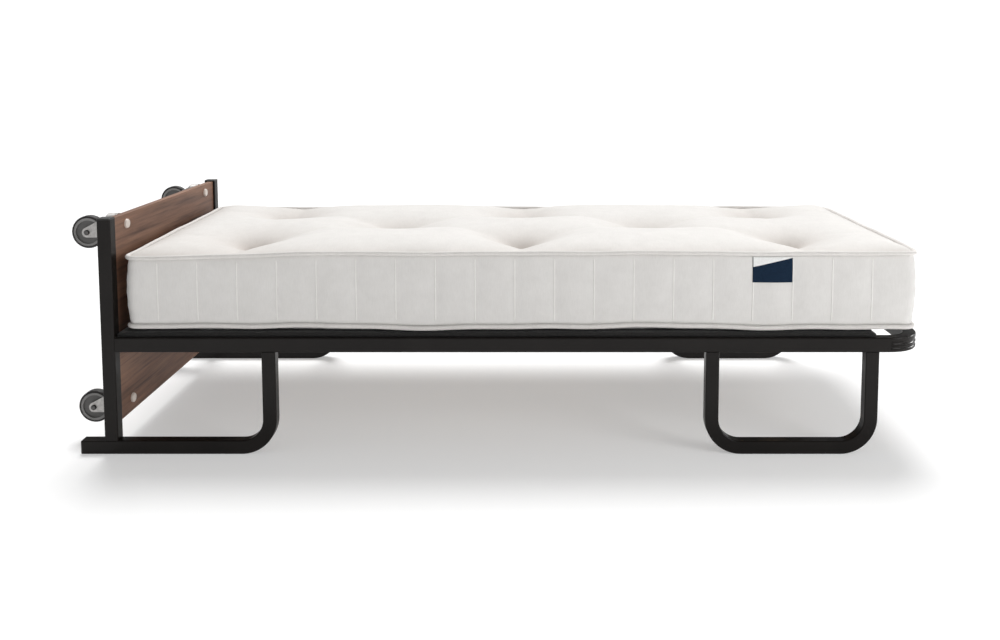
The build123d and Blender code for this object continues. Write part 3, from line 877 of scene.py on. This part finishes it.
domes = []
for a, b in tufts:
    above = Vector((middle_x + a, b, upper_seam + ray_start))
    hit, _, _, _ = surface.ray_cast(above, Vector((0, 0, -1)))
    domes.append(tuft_dome(hit))
tuft_piece = new_object("wool_tufts", *joined(domes), mat_wool)
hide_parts("mattress_tufts")
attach(tuft_piece, root_body)

# ---------------------------------------------------------------- mattress: label
label_low, label_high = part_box("mattress_label")
label_wide = label_high.x - label_low.x
label_tall = label_high.z - label_low.z
label_lift = 0.0045             # its top edge is tucked under the upper tape
label_stand = 0.0012
label_thickness = 0.0008
label_columns, label_rows = 30, 20
head_from = 0.60                # the white head's lower edge at the left, as a share of the height
head_slant = 0.36               # how much higher that edge is at the right
left_hem = 0.0014


def label_cloth():
    """Plain navy woven label with a slanting white head; it carries no words."""
    s = Shader("label_cloth", (0.005, 0.02, 0.045), roughness=0.7)
    s.plain("Specular IOR Level", 0.1)
    across = s.calculate("SUBTRACT", s.position("X"), label_low.x)
    slant = s.calculate("MULTIPLY", across, head_slant * label_tall / label_wide)
    edge = s.calculate("ADD", slant, label_low.z + label_lift + head_from * label_tall)
    above = s.calculate("GREATER_THAN", s.position("Z"), edge)
    past_hem = s.calculate("GREATER_THAN", across, left_hem)
    head = s.calculate("MULTIPLY", above, past_hem)
    navy = s.two_tone(s.noise(400.0, detail=3.0), (0.004, 0.014, 0.032), (0.008, 0.022, 0.048))
    pale = s.two_tone(s.noise(300.0, detail=3.0), (0.78, 0.78, 0.77), (0.88, 0.88, 0.87))
    s.color(s.mix("MIX", head, navy, pale))
    s.bump(s.threads(900.0, "Z"), strength=0.2, distance=0.0003)
    s.bump(s.threads(900.0, "X"), strength=0.2, distance=0.0003)
    return s.material


label_points = []
for row in range(label_rows + 1):
    for column in range(label_columns + 1):
        x = label_low.x + label_wide * column / label_columns
        z = label_low.z + label_lift + label_tall * row / label_rows
        hit, _, _, _ = surface.ray_cast(Vector((x, label_low.y - ray_start, z)), Vector((0, 1, 0)))
        label_points.append((x, hit.y - label_stand, z))
label = new_object("plain_label", label_points, grid_faces(label_columns, label_rows), label_cloth())
thicken(label, label_thickness)
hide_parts("mattress_label")
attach(label, root_body)

# ---------------------------------------------------------------- deck pad of black felt
pad_low, pad_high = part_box("deck_felt_pad")
pad_columns, pad_rows = 120, 50
pad_sink = 0.0006               # from the CAD pad's top
pad_ripple = 0.0004
pad_ripple_rate = 3
pad_thickness = 0.0070
pad_points = []
for row in range(pad_rows + 1):
    for column in range(pad_columns + 1):
        x = pad_low.x + (pad_high.x - pad_low.x) * column / pad_columns
        y = pad_low.y + (pad_high.y - pad_low.y) * row / pad_rows
        uneven = ripple(pad_ripple_rate * x, pad_ripple_rate * y, pad_ripple)
        pad_points.append((x, y, pad_high.z - pad_sink + uneven))
felt = new_object("felt_pad", pad_points, grid_faces(pad_columns, pad_rows), mat_felt)
thicken(felt, pad_thickness)
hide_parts("deck_felt_pad")
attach(felt, root_body)

# ---------------------------------------------------------------- floor and backdrop
floor_reach = 30.0
floor_tone = 0.64
floor_glow = 0.37
backdrop_radius = 29.0


def white_floor():
    s = Shader("floor_white", (floor_tone, floor_tone, floor_tone), roughness=0.75)
    s.plain("Specular IOR Level", 0.1)
    s.glow(floor_glow)
    return s.material


def white_backdrop():
    s = Shader("backdrop_white", white, roughness=1.0)
    s.glow(1.0)
    return s.material


floor_mesh = bpy.data.meshes.new("floor")
floor_points = [(x * floor_reach, y * floor_reach, 0) for x, y in ((-1, -1), (1, -1), (1, 1), (-1, 1))]
floor_mesh.from_pydata(floor_points, [], [(0, 1, 2, 3)])
floor_mesh.materials.append(white_floor())
floor = add_object("floor", floor_mesh)

# Only the camera sees the backdrop: it lights nothing and isn't reflected.
dome_mesh = bpy.data.meshes.new("backdrop")
dome_build = bmesh.new()
bmesh.ops.create_uvsphere(dome_build, u_segments=48, v_segments=24, radius=backdrop_radius)
dome_build.to_mesh(dome_mesh)
dome_build.free()
dome_mesh.materials.append(white_backdrop())
dome = add_object("backdrop", dome_mesh)
dome.visible_diffuse = False
dome.visible_glossy = False
dome.visible_transmission = False
dome.visible_shadow = False

# ---------------------------------------------------------------- light
sky_strength = 0.34
sun_strength = 3.28
sun_spread = math.radians(34)
sun_lean = math.radians(31)     # comes from behind the bed

world = bpy.data.worlds.new("studio")
bpy.context.scene.world = world
world.use_nodes = True
background = next(n for n in world.node_tree.nodes if n.type == "BACKGROUND")
background.inputs["Color"].default_value = (*white, 1.0)
background.inputs["Strength"].default_value = sky_strength

sun = bpy.data.lights.new("overhead", "SUN")
sun.energy = sun_strength
sun.angle = sun_spread
sun_object = add_object("overhead", sun)
sun_object.rotation_euler = (-sun_lean, 0, 0)


def soft_box(name, place, target, size, power):
    """A square area light that faces a point."""
    light = bpy.data.lights.new(name, "AREA")
    light.shape = "SQUARE"
    light.size = size
    light.energy = power
    lamp = add_object(name, light)
    lamp.location = place
    lamp.rotation_euler = (Vector(target) - Vector(place)).to_track_quat("-Z", "Y").to_euler()
    return lamp


soft_box("foot_side", place=(3.4, -2.6, 1.7), target=(0.6, 0.0, 0.3), size=1.8, power=62)

# This one only shows as a glint on the frame's edges and pressed grooves.
glint = soft_box("edge_glint", place=(3.55, 0.80, 1.25), target=(0.99, -0.37, 0.27), size=0.9, power=60)
glint.visible_diffuse = False

bpy.context.scene.view_settings.view_transform = "Standard"
